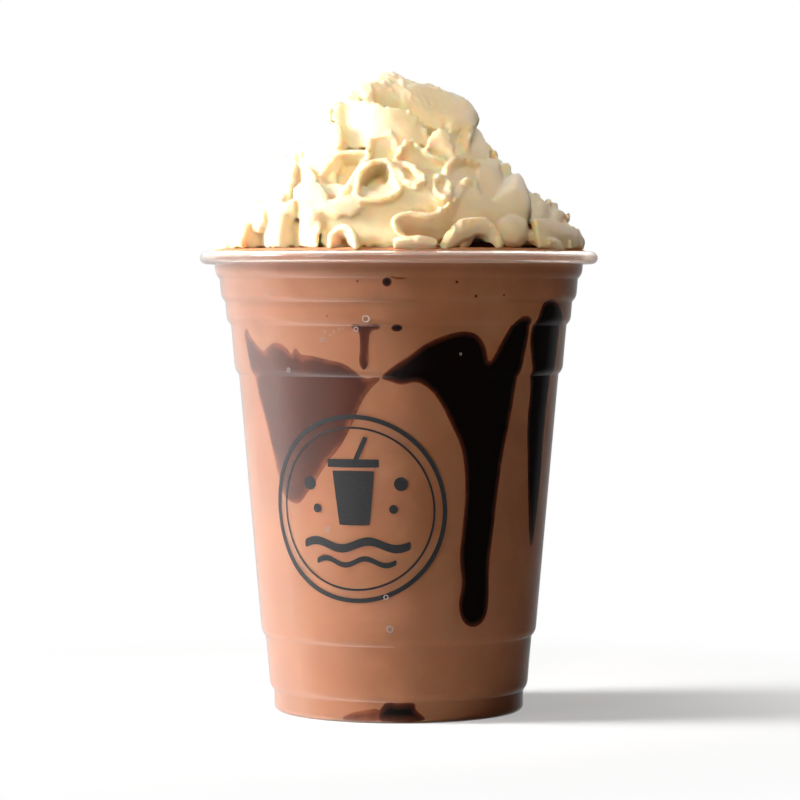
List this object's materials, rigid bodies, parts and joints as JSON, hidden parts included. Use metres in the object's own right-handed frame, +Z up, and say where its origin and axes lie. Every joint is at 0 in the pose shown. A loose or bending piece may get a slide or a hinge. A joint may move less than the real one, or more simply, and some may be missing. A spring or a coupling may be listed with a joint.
{
  "type": "chocolate milkshake",
  "caption": "Chocolate milkshake filling a clear stepped takeaway cup with a rolled lip, under a piped swirl of whipped cream.",
  "frame": {"origin": "centre of the foot, on the surface the cup stands on", "axes": "+Z up along the cup's axis towards the cream; the side with the print faces -Y"},
  "size_m": [0.098, 0.098, 0.1565],
  "materials": {
    "clear_plastic": "clear thermoformed plastic, glossy",
    "milkshake": "milky light brown drink, wet where it meets the cup",
    "whipped_cream": "soft satin whipped cream, slightly translucent",
    "chocolate_syrup": "dark glossy chocolate syrup, red brown where it is thin",
    "black_print": "black screen print on the outside of the cup"
  },
  "bodies": {
    "root": {"cup": "clear_plastic", "drink": "milkshake", "cream": "whipped_cream"}
  },
  "joints": []
}
